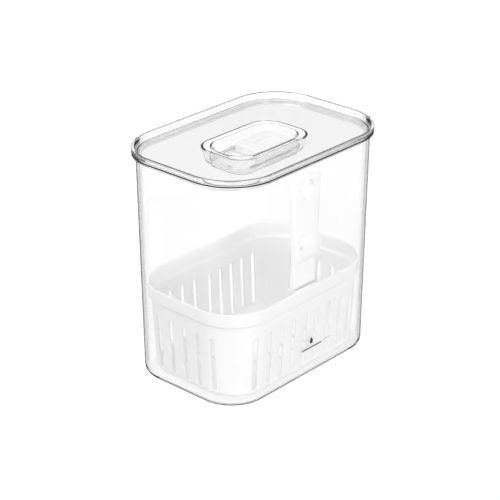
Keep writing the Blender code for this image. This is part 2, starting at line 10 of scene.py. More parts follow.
import bmesh
import bpy
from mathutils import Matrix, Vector


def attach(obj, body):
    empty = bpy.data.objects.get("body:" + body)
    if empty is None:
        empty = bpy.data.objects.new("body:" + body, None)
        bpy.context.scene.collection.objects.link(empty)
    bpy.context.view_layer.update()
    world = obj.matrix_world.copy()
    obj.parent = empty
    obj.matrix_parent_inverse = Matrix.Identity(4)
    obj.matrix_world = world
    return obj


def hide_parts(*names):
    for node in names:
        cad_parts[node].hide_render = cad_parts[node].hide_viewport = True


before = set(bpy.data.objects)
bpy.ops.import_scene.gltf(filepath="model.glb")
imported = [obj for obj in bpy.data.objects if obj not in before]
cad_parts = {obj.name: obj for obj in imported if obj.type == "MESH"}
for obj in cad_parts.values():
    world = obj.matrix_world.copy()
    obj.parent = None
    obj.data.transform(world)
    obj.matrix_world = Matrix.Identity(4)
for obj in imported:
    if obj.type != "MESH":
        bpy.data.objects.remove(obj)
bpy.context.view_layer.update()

MM = 0.001

# A rounded rectangle: half length, half width and corner radius.
Outline = namedtuple("Outline", "half_x half_y radius")

# A corner of a section: the outline it lies on, its height, and how far from it its rounding starts.
Corner = namedtuple("Corner", "outline z reach")

# A square area light: where it hangs, what it points at, its side in metres and its power in watts.
Light = namedtuple("Light", "name place target size power")

# ---- overall -------------------------------------------------------------------------------
CORNER_STEPS = 22                      # facets in each rounded corner of an outline
FILLET_STEPS = 4                       # facets in each rounded edge of a section
FIT = 0.3 * MM                         # gap between pieces that rest on or fit in each other
CRISP = 0.2 * MM                       # rounding of a crisp moulded edge
FINE = 0.1 * MM                        # rounding of an inner corner or a parting edge
CUT_PAST = 1.0 * MM                    # cutters reach this far past the face they cut

# ---- bin -----------------------------------------------------------------------------------
BIN_BASE = Outline(98.0 * MM, 64.9 * MM, 35.5 * MM)    # outer wall, extended to the floor
BIN_MOUTH = Outline(101.5 * MM, 69.3 * MM, 41.4 * MM)  # outer wall at the mouth
BIN_HEIGHT = 209.2 * MM
BIN_WALL = 2.2 * MM
BIN_FLOOR = 2.6 * MM
BIN_FOOT_ROUND = 5.5 * MM
BIN_INNER_ROUND = 4.0 * MM
BIN_FLAT_INSET = 12.0 * MM             # the floor is flat from here inwards
BASE_RECESS = 0.8 * MM                 # hollow under the base, inside its standing ring
BASE_RING_INSET = 16.5 * MM            # inner edge of the standing ring
BASE_RING_ROUND = 0.4 * MM
MOUTH_BEAD = 0.6 * MM                  # how far the bead at the mouth stands out
MOUTH_BEAD_HEIGHT = 2.6 * MM
MOUTH_BEAD_ROUND = 0.3 * MM
MOUTH_OUTER_ROUND = 0.6 * MM
MOUTH_INNER_ROUND = 0.5 * MM

# ---- lid -----------------------------------------------------------------------------------
LID = Outline(105.5 * MM, 72.9 * MM, 46.0 * MM)
LID_TOP = 215.9 * MM
PANEL_TOP = 210.6 * MM
PANEL_BOTTOM = BIN_HEIGHT + FIT
RIM_TOP_WIDTH = 2.3 * MM
RIM_FOOT_WIDTH = 4.3 * MM
RIM_FOOT_ROUND = 1.0 * MM
RIM_ROUND = 0.3 * MM
RIM_BOTTOM = 208.9 * MM                # foot of the rim's outer face, beside the bin's mouth
RIM_SKIRT_WIDTH = 2.6 * MM
PLUG_BOTTOM = 205.6 * MM               # skirt that drops into the bin's mouth
PLUG_CLEARANCE = 0.7 * MM
PLUG_WALL = 1.9 * MM
PLUG_EDGE = 0.4 * MM
SEAL_GROOVE_LOW = 206.5 * MM
SEAL_GROOVE_HIGH = 208.2 * MM
SEAL_GROOVE_DEPTH = 0.9 * MM
SEAL_SHOULDER = 0.4 * MM
SEAL_SHOULDER_ROUND = 0.3 * MM
SEAL_NOSE_ROUND = 0.7 * MM
POCKET = Outline(46.5 * MM, 28.5 * MM, 18.7 * MM)      # finger pocket round the vent knob
POCKET_DRAFT = 3.4 * MM
POCKET_FLOOR = 198.4 * MM
POCKET_WALL = 1.8 * MM
POCKET_EDGE = 0.05 * MM
POCKET_FOOT_ROUND = 1.2 * MM
POCKET_UNDER_ROUND = 0.6 * MM

# ---- vent ----------------------------------------------------------------------------------
KNOB_FOOT = Outline(40.5 * MM, 21.8 * MM, 12.6 * MM)
KNOB_TOP = Outline(42.4 * MM, 24.0 * MM, 17.6 * MM)
KNOB_HEIGHT_TOP = 210.5 * MM
KNOB_BOTTOM = 192.3 * MM
KNOB_BOTTOM_ROUND = 0.6 * MM
KNOB_WALL = 2.0 * MM
KNOB_LIP_WALL = 0.9 * MM               # wall of the neck at the knob's opening
KNOB_LIP = 1.1 * MM                    # the grip lip stands out this far round the top
KNOB_LIP_HEIGHT = 1.5 * MM
KNOB_LIP_ROUND = 0.6 * MM
KNOB_LIP_EDGE = 0.4 * MM
KNOB_NECK_ROUND = 1.0 * MM
KNOB_FOOT_BEAD = 1.2 * MM
KNOB_FOOT_BEAD_HEIGHT = 1.6 * MM
KNOB_FOOT_BEAD_ROUND = 0.3 * MM
KNOB_FOOT_FILLET = 0.7 * MM
KNOB_SNAP_BEAD = 0.7 * MM
KNOB_SNAP_BEAD_HEIGHT = 0.5 * MM
KNOB_SNAP_BEAD_ROUND = 0.15 * MM
KNOB_LEDGE_WIDTH = 2.5 * MM            # ledge inside the knob's foot, which holds the vent base
KNOB_LEDGE_THICKNESS = 1.2 * MM
WELL_STRAIGHT_TOP = 204.6 * MM         # the slider's well has straight walls up to here
WELL_TOP_ROUND = 2.0 * MM
WELL_FOOT_ROUND = 0.15 * MM
VENT_BASE_THICKNESS = 1.5 * MM
VENT_BASE_LOW = KNOB_BOTTOM + KNOB_LEDGE_THICKNESS + FIT
VENT_BASE_HIGH = VENT_BASE_LOW + VENT_BASE_THICKNESS
VENT_BASE_FLAT_INSET = 8.0 * MM
VENT_SLOT_XS = (16.5 * MM, 21.0 * MM, 25.5 * MM, 30.0 * MM)
VENT_SLOT_WIDTH = 2.4 * MM
VENT_SLOT_LENGTH = 24.0 * MM
SLIDER_LEFT = -5.5 * MM
SLIDER_TOP = 203.8 * MM
SLIDER_SIDE_GAP = 0.5 * MM
SLIDER_SQUARE_RADIUS = 2.0 * MM
SLIDER_ROUND_RADIUS = 9.6 * MM
SLIDER_FOOT_EDGE = 0.3 * MM
SLIDER_EDGE = 0.7 * MM
SLIDER_EDGE_STEPS = 4
THUMB_RECESS = Outline(12.0 * MM, 8.0 * MM, 7.9 * MM)
THUMB_RECESS_DEPTH = 1.2 * MM
THUMB_RECESS_DRAFT = 0.6 * MM
THUMB_RECESS_ROUND = 1.0 * MM
THUMB_RECESS_FLAT_INSET = 4.0 * MM

# ---- basket --------------------------------------------------------------------------------
BASKET_BASE = Outline(88.0 * MM, 57.5 * MM, 33.0 * MM)
BASKET_RIM = Outline(95.4 * MM, 63.9 * MM, 38.5 * MM)
BASKET_BOTTOM = BIN_FLOOR + FIT
BASKET_TOP = 88.4 * MM
BASKET_WALL = 1.6 * MM
BASKET_FLOOR = 2.0 * MM
BASKET_FOOT_ROUND = 6.5 * MM
BASKET_INNER_ROUND = 5.0 * MM
BASKET_RIM_ROUND = 0.5 * MM
BASKET_FLAT_INSET = 14.0 * MM          # the base is flat from here inwards
RIM_BAND_HEIGHT = 14.6 * MM            # the band round the rim steps out by RIM_BAND_STEP
RIM_BAND_STEP = 2.2 * MM
RIM_BAND_LOW = BASKET_TOP - RIM_BAND_HEIGHT
RIM_BAND_ROUND = 0.6 * MM
WALL_SLOT_WIDTH = 5.0 * MM
WALL_SLOT_BOTTOM = 8.5 * MM
WALL_SLOT_TOP = 61.5 * MM
WALL_SLOT_PITCH = 16.0 * MM
WALL_SLOT_START = 0.78                 # the cutters start this share of the way out to the rim
LONG_WALL_SLOTS = 9
SHORT_WALL_SLOTS = 5
FLOOR_SLOT_WIDTH = 4.0 * MM
FLOOR_SLOT_LENGTH = 24.0 * MM
FLOOR_SLOT_PITCH = 20.0 * MM
FLOOR_SLOT_COLUMNS = range(-3, 4)

# ---- lift handle and the socket that holds its foot -----------------------------------------
BLADE_FRONT = -57.6 * MM               # outer face of the blade, towards the bin's wall
BLADE_THICKNESS = 3.2 * MM
BLADE_HALF_WIDTH = 14.3 * MM
BLADE_BOTTOM = 81.0 * MM
BLADE_TIP_HEIGHT = 1.0 * MM            # the tapered tip that leads into the socket
BLADE_TIP_STEP = 0.4 * MM
BLADE_TIP_SIDE_STEP = 0.7 * MM
GRIP_FRONT = -59.7 * MM
GRIP_THICKNESS = 5.2 * MM
GRIP_LOW_HALF_WIDTH = 16.0 * MM
GRIP_HIGH_HALF_WIDTH = 17.9 * MM
GRIP_TOP = 194.3 * MM
GRIP_CORNER_RADIUS = 5.0 * MM
GRIP_CORNER_STEPS = 12
HANDLE_EDGE_RADIUS = 0.9 * MM
HANDLE_EDGE_STEPS = 5
BOSS_FRONT = -63.0 * MM
BOSS_LOW = 112.0 * MM
BOSS_HIGH = 138.6 * MM
BOSS_STEPS = 26
FINGER_HOLE_Z = 181.0 * MM
FINGER_HOLE_RADIUS = 9.2 * MM
DIMPLE = Vector((-10.0 * MM, BOSS_FRONT, 127.5 * MM))    # shallow dish in the boss
DIMPLE_RADIUS = 4.6 * MM
DIMPLE_DEPTH = 1.4 * MM
SNAP_HOLE_X = -9.2 * MM
SNAP_HOLE_Z = 128.4 * MM
SNAP_HOLE_RADIUS = 1.7 * MM
SNAP_HOLE_DEPTH = 3.4 * MM
SOCKET_HALF_WIDTH = 16.4 * MM
SOCKET_DEPTH = 5.2 * MM
SOCKET_BACK = -51.6 * MM
SOCKET_SLOPE = 6.0 * MM                # the underside slopes down this far to the basket's wall
SOCKET_UNDER_WIDTH = 2.0 * MM          # flat part of the underside
SOCKET_EDGE = 0.6 * MM                 # rounding of the top edge, in two facets
SOCKET_HOLE_DEPTH = 17.0 * MM
SOCKET_MOUTH_WIDENING = 2.0 * MM
SOCKET_MOUTH_DEPTH = 2.8 * MM

# ---- marks printed on the bin's -Y wall, as x and z ------------------------------------------
INK_GAP = 0.02 * MM                    # keeps the ink clear of the wall's facets
INK_THICKNESS = 0.06 * MM
LINE_LEFT = -10.1 * MM
LINE_RIGHT = 17.5 * MM
LINE_LOW = 26.9 * MM
LINE_HIGH = 28.1 * MM
DROP_X = 3.0 * MM
DROP_Z = 34.6 * MM
DROP_HALF_WIDTH = 2.7 * MM
DROP_HALF_HEIGHT = 3.3 * MM
DROP_STEPS = 24
TICK_LEFT = 20.0 * MM
TICK_WIDTHS = (3.0 * MM, 2.0 * MM, 3.2 * MM)
TICK_GAP = 0.8 * MM
TICK_LOW = 28.3 * MM
TICK_HIGH = 29.2 * MM

# ---- camera, from the fitted view ------------------------------------------------------------
CAMERA_PLACE = Vector((-1.02522, -0.91925, 0.75110))
CAMERA_TARGET = Vector((-0.00791, -0.001705, 0.10719))
CAMERA_LENS = 121.93                   # millimetres, on a sensor SENSOR_WIDTH wide
SENSOR_WIDTH = 36.0
CAMERA_REACH = 50.0                    # nothing farther than this is drawn

# ---- studio ----------------------------------------------------------------------------------
LIGHTS = (
    Light("key", (-0.8, -2.1, 0.36), (0, 0, 0.08), 0.8, 12.0),
    Light("fill", (-1.6, 0.4, 1.4), (0, 0, 0.08), 1.0, 4.0),
    Light("top", (-0.9, 0.5, 1.8), (0, 0, 0.1), 1.2, 10.0),
)
SKY_BRIGHTNESS = 1.15                  # overhead
HORIZON_BRIGHTNESS = (0.3, 0.46)       # all round, and towards +X
SKY_RISE = (0.42, 0.72)                # Z of the directions between which the sky brightens upwards
SKY_TURN = (0.3, 0.66)                 # X of the directions between which the horizon brightens
FLOOR_RADIUS = 12.0
FLOOR_DROP = 0.2 * MM                  # keeps the floor clear of the bin's foot
FLOOR_GREY = 0.11
FLOOR_GLOW = 0.94
LIGHT_BOUNCES = 40                     # enough for light to pass every wall of the clear pieces


# ---- outlines and rings ----------------------------------------------------------------------
def inset(outline, amount):
    """The outline moved inwards by amount, or outwards if it is negative."""
    return Outline(outline.half_x - amount, outline.half_y - amount, outline.radius - amount)


def blend(low, high, share):
    """The outline that lies share of the way from low to high."""
    return Outline(*(a + (b - a) * share for a, b in zip(low, high)))


def bin_outline(z):
    """The bin's outer wall at height z."""
    return blend(BIN_BASE, BIN_MOUTH, z / BIN_HEIGHT)


def basket_outline(z):
    """The basket's outer wall below the rim band, extended to height z."""
    share = (z - BASKET_BOTTOM) / (BASKET_TOP - BASKET_BOTTOM)
    return blend(BASKET_BASE, inset(BASKET_RIM, RIM_BAND_STEP), share)


def plug_outline():
    """The outer face of the skirt that drops into the bin's mouth."""
    return inset(inset(bin_outline(PLUG_BOTTOM), BIN_WALL), PLUG_CLEARANCE)


def ring(outline, z, centre=(0.0, 0.0), steps=CORNER_STEPS):
    """Points round the outline at height z, the same number in each corner."""
    points = []
    for side_x, side_y, start in ((1, 1, 0), (-1, 1, 90), (-1, -1, 180), (1, -1, 270)):
        corner_x = centre[0] + side_x * (outline.half_x - outline.radius)
        corner_y = centre[1] + side_y * (outline.half_y - outline.radius)
        for step in range(steps + 1):
            angle = math.radians(start + 90 * step / steps)
            x = corner_x + outline.radius * math.cos(angle)
            y = corner_y + outline.radius * math.sin(angle)
            points.append(Vector((x, y, z)))
    return points


def soften(corners, closed):
    """Rounds the corners of a section: each becomes a curve that starts and ends reach away from it."""
    levels = []
    count = len(corners)
    for index, corner in enumerate(corners):
        here = (*corner.outline, corner.z)
        at_end = not closed and index in (0, count - 1)
        if corner.reach == 0 or at_end:
            levels.append(here)
            continue
        before = (*corners[index - 1].outline, corners[index - 1].z)
        after = (*corners[(index + 1) % count].outline, corners[(index + 1) % count].z)
        ends = []
        for other in (before, after):
            length = math.hypot(other[0] - here[0], other[3] - here[3])
            share = min(corner.reach / length, 0.49)      # the curves at a side's two ends never meet
            ends.append([a + (b - a) * share for a, b in zip(here, other)])
        for step in range(FILLET_STEPS + 1):
            t = step / FILLET_STEPS
            levels.append([(1 - t) ** 2 * a + 2 * t * (1 - t) * h + t * t * b
                           for a, h, b in zip(ends[0], here, ends[1])])
    return [(Outline(*level[:3]), level[3]) for level in levels]


# ---- meshes ------------------------------------------------------------------------------------
def extrude_ring(body, verts, points):
    """Extrudes the closed loop of verts and moves the new loop to the points; returns the new loop."""
    edges = [body.edges.get((verts[i - 1], verts[i])) for i in range(len(verts))]
    made = bmesh.ops.extrude_edge_only(body, edges=edges)
    fresh = {item for item in made["geom"] if isinstance(item, bmesh.types.BMVert)}
    loop = []
    for vert, point in zip(verts, points):
        partner = next(edge.other_vert(vert) for edge in vert.link_edges if edge.other_vert(vert) in fresh)
        partner.co = point
        loop.append(partner)
    return loop


def loft(rings, closed):
    """A body through the rings: closed joins the last ring to the first, else both ends are capped."""
    body = bmesh.new()
    first = [body.verts.new(point) for point in rings[0]]
    for i in range(len(first)):
        body.edges.new((first[i - 1], first[i]))
    last = first
    for points in rings[1:]:
        last = extrude_ring(body, last, points)
    if closed:
        last = extrude_ring(body, last, rings[0])
        bmesh.ops.weld_verts(body, targetmap=dict(zip(last, first)))
    else:
        body.faces.new(first)
        body.faces.new(last)
    bmesh.ops.recalc_face_normals(body, faces=body.faces)
    return body


def section_loft(corners, closed, centre=(0.0, 0.0)):
    """A body whose section runs through the corners, rounded."""
    return loft([ring(outline, z, centre) for outline, z in soften(corners, closed)], closed)


def add_prism(body, points, depth):
    """Adds the closed prism that starts at the flat outline of points and reaches depth further."""
    face = body.faces.new([body.verts.new(point) for point in points])
    made = bmesh.ops.extrude_face_region(body, geom=[face])
    moved = [item for item in made["geom"] if isinstance(item, bmesh.types.BMVert)]
    bmesh.ops.translate(body, verts=moved, vec=depth)
    bmesh.ops.recalc_face_normals(body, faces=body.faces)


def stadium(centre, along, across, length, width, steps=8):
    """Points of a slot with round ends, whose long axis is along, in the plane of along and across."""
    radius = width / 2
    points = []
    for side, start in ((1, -90), (-1, 90)):
        for step in range(steps + 1):
            angle = math.radians(start + 180 * step / steps)
            reach = side * (length / 2 - radius) + radius * math.cos(angle)
            points.append(centre + along * reach + across * radius * math.sin(angle))
    return points


def rod(x, z, radius, front, depth, steps):
    """A round cutter that starts at front and runs along +Y."""
    points = []
    for step in range(steps):
        angle = math.radians(360 * step / steps)
        points.append(Vector((x + radius * math.cos(angle), front, z + radius * math.sin(angle))))
    body = bmesh.new()
    add_prism(body, points, Vector((0, depth, 0)))
    return body


def side_prism(profile, half_width):
    """A prism along X over a profile of (y, z) points, centred on X = 0."""
    body = bmesh.new()
    add_prism(body, [Vector((-half_width, y, z)) for y, z in profile], Vector((2 * half_width, 0, 0)))
    return body


def new_piece(name, body, material, sharp=40):
    """An object from the body; edges over sharp degrees stay sharp."""
    mesh = bpy.data.meshes.new(name)
    body.to_mesh(mesh)
    body.free()
    mesh.shade_smooth()
    mesh.set_sharp_from_angle(angle=math.radians(sharp))
    if material is not None:
        mesh.materials.append(material)
    piece = bpy.data.objects.new(name, mesh)
    bpy.context.scene.collection.objects.link(piece)
    return piece


def combine(piece, body, operation, label):
    """Joins the body to the piece, or cuts it out of the piece, and returns the body's object."""
    tool = new_piece(piece.name + "_" + label, body, None)
    modifier = piece.modifiers.new(label, "BOOLEAN")
    modifier.operation = operation
    modifier.object = tool
    return tool


def bake_modifiers(piece, tools, sharp=40):
    """Applies the piece's modifiers and removes the tools they used."""
    depsgraph = bpy.context.evaluated_depsgraph_get()
    mesh = bpy.data.meshes.new_from_object(piece.evaluated_get(depsgraph), depsgraph=depsgraph)
    piece.modifiers.clear()
    piece.data = mesh
    mesh.shade_smooth()
    mesh.set_sharp_from_angle(angle=math.radians(sharp))
    for tool in tools:
        bpy.data.objects.remove(tool, do_unlink=True)


def even_normals(piece):
    """Large flat faces keep their own normals where they meet small rounded edges."""
    modifier = piece.modifiers.new("even_normals", "WEIGHTED_NORMAL")
    modifier.keep_sharp = True
    modifier.weight = 50


def hand_over(piece, body, node=None):
    """Ties the piece to its CAD body, and hides the node it stands in for, if one is given."""
    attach(piece, body)
    if node:
        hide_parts(node)


# ---- materials ---------------------------------------------------------------------------------
def grey(value):
    """An opaque grey."""
    return (value, value, value, 1.0)


def new_material(name):
    """A material with its node tree and its shader."""
    material = bpy.data.materials.new(name)
    material.use_nodes = True
    return material, material.node_tree, material.node_tree.nodes["Principled BSDF"]


def feed(tree, socket, value):
    """Gives the socket a fixed value, or links it if the value is another node's output."""
    if isinstance(value, bpy.types.NodeSocket):
        tree.links.new(value, socket)
    else:
        socket.default_value = value


def add_noise(tree, scale, detail=2.0, distortion=0.0):
    """A noise pattern that stays fixed to the piece."""
    place = tree.nodes.new("ShaderNodeTexCoord")
    noise = tree.nodes.new("ShaderNodeTexNoise")
    noise.inputs["Scale"].default_value = scale
    noise.inputs["Detail"].default_value = detail
    noise.inputs["Distortion"].default_value = distortion
    feed(tree, noise.inputs["Vector"], place.outputs["Object"])
    return noise.outputs["Fac"]


def add_mix(tree, factor, low, high):
    """A colour that goes from low to high as the factor goes from 0 to 1."""
    mix = tree.nodes.new("ShaderNodeMix")
    mix.data_type = "RGBA"
    feed(tree, mix.inputs["Factor"], factor)
    feed(tree, mix.inputs["A"], low)
    feed(tree, mix.inputs["B"], high)
    return mix.outputs["Result"]


def add_range(tree, value, low, high, span=(0.0, 1.0), smooth=False):
    """A number that goes from low to high as the value crosses the span."""
    mapped = tree.nodes.new("ShaderNodeMapRange")
    if smooth:
        mapped.interpolation_type = "SMOOTHSTEP"
    mapped.inputs["From Min"].default_value = span[0]
    mapped.inputs["From Max"].default_value = span[1]
    feed(tree, mapped.inputs["Value"], value)
    feed(tree, mapped.inputs["To Min"], low)
    feed(tree, mapped.inputs["To Max"], high)
    return mapped.outputs["Result"]


def add_bump(tree, height, strength, distance):
    """A surface direction that follows the height."""
    bump = tree.nodes.new("ShaderNodeBump")
    bump.inputs["Strength"].default_value = strength
    bump.inputs["Distance"].default_value = distance
    feed(tree, bump.inputs["Height"], height)
    return bump.outputs["Normal"]


def clear_material(name, tint, haze, absorption, edge, ior=1.5):
    """Clear moulded plastic: flow ripples and a trace of haze, darker where it is thick, with painted shade
    that turns its colour to the edge grey where it is seen edge-on.
    """
    material, tree, shader = new_material(name)
    flow = add_noise(tree, scale=14.0, distortion=0.8)
    # painted shade: the colour darkens to the edge grey where the surface is seen edge-on
    slant = tree.nodes.new("ShaderNodeLayerWeight")
    slant.inputs["Blend"].default_value = 0.5
    painted_edge_shade = add_range(tree, slant.outputs["Facing"], 0.0, 1.0, span=(0.62, 0.94), smooth=True)
    face_colour = add_mix(tree, flow, grey(tint * 0.988), grey(tint))
    feed(tree, shader.inputs["Base Color"], add_mix(tree, painted_edge_shade, face_colour, grey(edge)))
    feed(tree, shader.inputs["Roughness"], add_range(tree, flow, haze * 0.5, haze))
    feed(tree, shader.inputs["Normal"], add_bump(tree, flow, strength=0.02, distance=0.5 * MM))
    shader.inputs["Transmission Weight"].default_value = 1.0
    shader.inputs["IOR"].default_value = ior
    shadow = tree.nodes.new("ShaderNodeBsdfTransparent")
    shadow.inputs["Color"].default_value = grey(0.97)
    rays = tree.nodes.new("ShaderNodeLightPath")
    both = tree.nodes.new("ShaderNodeMixShader")
    feed(tree, both.inputs[0], rays.outputs["Is Shadow Ray"])
    feed(tree, both.inputs[1], shader.outputs["BSDF"])
    feed(tree, both.inputs[2], shadow.outputs["BSDF"])
    inside = tree.nodes.new("ShaderNodeVolumeAbsorption")
    inside.inputs["Color"].default_value = grey(0.0)
    inside.inputs["Density"].default_value = absorption
    output = tree.nodes["Material Output"]
    feed(tree, output.inputs["Surface"], both.outputs["Shader"])
    feed(tree, output.inputs["Volume"], inside.outputs["Volume"])
    return material


def white_material(name, tone, glow):
    """White moulded plastic: satin, finely textured, with light that spreads a little inside it."""
    material, tree, shader = new_material(name)
    cloud = add_noise(tree, scale=30.0, detail=3.0)
    grain = add_noise(tree, scale=1400.0)
    feed(tree, shader.inputs["Base Color"], add_mix(tree, cloud, grey(tone * 0.985), grey(tone)))
    feed(tree, shader.inputs["Roughness"], add_range(tree, cloud, 0.35, 0.45))
    feed(tree, shader.inputs["Normal"], add_bump(tree, grain, strength=0.08, distance=0.1 * MM))
    shader.inputs["Subsurface Weight"].default_value = glow
    shader.inputs["Subsurface Radius"].default_value = (1.0, 1.0, 1.0)
    shader.inputs["Subsurface Scale"].default_value = 7.0 * MM
    return material


def ink_material(name, colour):
    """Printed ink with a fine speckle."""
    material, tree, shader = new_material(name)
    darker = [channel * 0.85 for channel in colour]
    speckle = add_noise(tree, scale=900.0)
    feed(tree, shader.inputs["Base Color"], add_mix(tree, speckle, (*darker, 1.0), (*colour, 1.0)))
    shader.inputs["Roughness"].default_value = 0.5
    return material


def floor_material():
    """A matt floor that glows evenly by itself, except in the mirror images that shiny pieces show."""
    material, tree, shader = new_material("studio_floor")
    shader.inputs["Base Color"].default_value = grey(FLOOR_GREY)
    shader.inputs["Roughness"].default_value = 0.9
    shader.inputs["Emission Color"].default_value = grey(1.0)
    rays = tree.nodes.new("ShaderNodeLightPath")
    mirrored = tree.nodes.new("ShaderNodeMath")
    mirrored.operation = "MULTIPLY"
    feed(tree, mirrored.inputs[0], rays.outputs["Is Glossy Ray"])
    feed(tree, mirrored.inputs[1], rays.outputs["Is Reflection Ray"])
    glow = add_range(tree, mirrored.outputs["Value"], FLOOR_GLOW, 0.0)
    feed(tree, shader.inputs["Emission Strength"], glow)
    return material


# ---- bin ---------------------------------------------------------------------------------------
def build_bin(material):
    """The clear bin: a tapered shell, a recessed base and a bead round its mouth."""
    def wall(z, amount, reach):
        return Corner(inset(bin_outline(z), amount), z, reach)

    bead_low = BIN_HEIGHT - MOUTH_BEAD_HEIGHT
    corners = [
        Corner(inset(BIN_BASE, BASE_RING_INSET + BASE_RECESS), BASE_RECESS, 0),
        wall(0.0, BASE_RING_INSET, BASE_RING_ROUND),
        wall(0.0, 0.0, BIN_FOOT_ROUND),
        wall(bead_low, 0.0, CRISP),
        wall(bead_low + MOUTH_BEAD, -MOUTH_BEAD, MOUTH_BEAD_ROUND),
        wall(BIN_HEIGHT, -MOUTH_BEAD, MOUTH_OUTER_ROUND),
        wall(BIN_HEIGHT, BIN_WALL, MOUTH_INNER_ROUND),
        wall(BIN_FLOOR, BIN_WALL, BIN_INNER_ROUND),
        Corner(inset(bin_outline(BIN_FLOOR), BIN_FLAT_INSET), BIN_FLOOR, 0),
    ]
    piece = new_piece("bin_shell", section_loft(corners, closed=False), material)
    even_normals(piece)
    hand_over(piece, "bin", "bin_body")


# ---- lid ---------------------------------------------------------------------------------------
def build_lid(material):
    """The clear lid: raised stacking rim, recessed panel, plug skirt and the knob's pocket."""
    opening = inset(KNOB_FOOT, -FIT)
    plug = plug_outline()
    pocket_low = inset(POCKET, POCKET_DRAFT)
    pocket_under = POCKET_FLOOR - POCKET_WALL
    corners = [
        Corner(opening, pocket_under, CRISP),
        Corner(inset(pocket_low, -POCKET_WALL), pocket_under, POCKET_FOOT_ROUND),
        Corner(inset(POCKET, -POCKET_WALL), PANEL_BOTTOM, POCKET_UNDER_ROUND),
        Corner(inset(plug, PLUG_WALL), PANEL_BOTTOM, 0),
        Corner(inset(plug, PLUG_WALL), PLUG_BOTTOM, CRISP),
        Corner(plug, PLUG_BOTTOM, PLUG_EDGE),
        Corner(plug, SEAL_GROOVE_LOW, 0),
        Corner(inset(plug, SEAL_GROOVE_DEPTH), SEAL_GROOVE_LOW, 0),
        Corner(inset(plug, SEAL_GROOVE_DEPTH), SEAL_GROOVE_HIGH, 0),
        Corner(plug, SEAL_GROOVE_HIGH, 0),
        Corner(plug, PANEL_BOTTOM, 0),
        Corner(inset(LID, RIM_SKIRT_WIDTH), PANEL_BOTTOM, 0),
        Corner(inset(LID, RIM_SKIRT_WIDTH), RIM_BOTTOM, FINE),
        Corner(LID, RIM_BOTTOM, RIM_ROUND),
        Corner(LID, LID_TOP, CRISP),
        Corner(inset(LID, RIM_TOP_WIDTH), LID_TOP, RIM_ROUND),
        Corner(inset(LID, RIM_FOOT_WIDTH), PANEL_TOP, RIM_FOOT_ROUND),
        Corner(POCKET, PANEL_TOP, POCKET_EDGE),
        Corner(pocket_low, POCKET_FLOOR, POCKET_FOOT_ROUND),
        Corner(opening, POCKET_FLOOR, CRISP),
    ]
    piece = new_piece("lid_shell", section_loft(corners, closed=True), material)
    even_normals(piece)
    hand_over(piece, "lid", "lid")


def build_seal(material):
    """The soft clear ring in the plug's groove, which meets the bin's inner wall."""
    low = SEAL_GROOVE_LOW + FIT
    high = SEAL_GROOVE_HIGH - FIT
    inner = inset(plug_outline(), SEAL_GROOVE_DEPTH - FIT)
    outer = inset(plug_outline(), FIT - PLUG_CLEARANCE)
    shoulder = inset(outer, SEAL_SHOULDER)
    corners = [
        Corner(inner, low, CRISP),
        Corner(shoulder, low, SEAL_SHOULDER_ROUND),
        Corner(outer, (low + high) / 2, SEAL_NOSE_ROUND),
        Corner(shoulder, high, SEAL_SHOULDER_ROUND),
        Corner(inner, high, CRISP),
    ]
    piece = new_piece("seal_ring", section_loft(corners, closed=True), material)
    even_normals(piece)
    hand_over(piece, "lid", "lid_seal")


# ---- vent --------------------------------------------------------------------------------------
def build_knob(material):
    """The clear hollow knob: it snaps into the pocket's floor and forms the slider's well."""
    well = inset(KNOB_FOOT, KNOB_WALL)
    neck = inset(KNOB_TOP, KNOB_LIP)
    foot_bead = inset(KNOB_FOOT, -KNOB_FOOT_BEAD)
    snap_bead = inset(KNOB_FOOT, -KNOB_SNAP_BEAD)
    ledge = inset(well, KNOB_LEDGE_WIDTH)
    ledge_top = KNOB_BOTTOM + KNOB_LEDGE_THICKNESS
    under = POCKET_FLOOR - POCKET_WALL - FIT
    seat = POCKET_FLOOR + FIT
    lip_low = KNOB_HEIGHT_TOP - KNOB_LIP_HEIGHT
    corners = [
        Corner(ledge, KNOB_BOTTOM, CRISP),
        Corner(KNOB_FOOT, KNOB_BOTTOM, KNOB_BOTTOM_ROUND),
        Corner(KNOB_FOOT, under - 2 * KNOB_SNAP_BEAD, CRISP),
        Corner(snap_bead, under - KNOB_SNAP_BEAD_HEIGHT, CRISP),
        Corner(snap_bead, under, KNOB_SNAP_BEAD_ROUND),
        Corner(KNOB_FOOT, under, FINE),
        Corner(KNOB_FOOT, seat, FINE),
        Corner(foot_bead, seat, KNOB_FOOT_BEAD_ROUND),
        Corner(KNOB_FOOT, seat + KNOB_FOOT_BEAD_HEIGHT, KNOB_FOOT_FILLET),
        Corner(neck, lip_low - KNOB_LIP_HEIGHT, KNOB_NECK_ROUND),
        Corner(KNOB_TOP, lip_low, KNOB_LIP_EDGE),
        Corner(KNOB_TOP, KNOB_HEIGHT_TOP, KNOB_LIP_ROUND),
        Corner(inset(neck, KNOB_LIP_WALL), KNOB_HEIGHT_TOP, KNOB_LIP_EDGE),
        Corner(well, WELL_STRAIGHT_TOP, WELL_TOP_ROUND),
        Corner(well, ledge_top, WELL_FOOT_ROUND),
        Corner(ledge, ledge_top, CRISP),
    ]
    piece = new_piece("knob_shell", section_loft(corners, closed=True), material)
    even_normals(piece)
    hand_over(piece, "lid", "vent_housing")


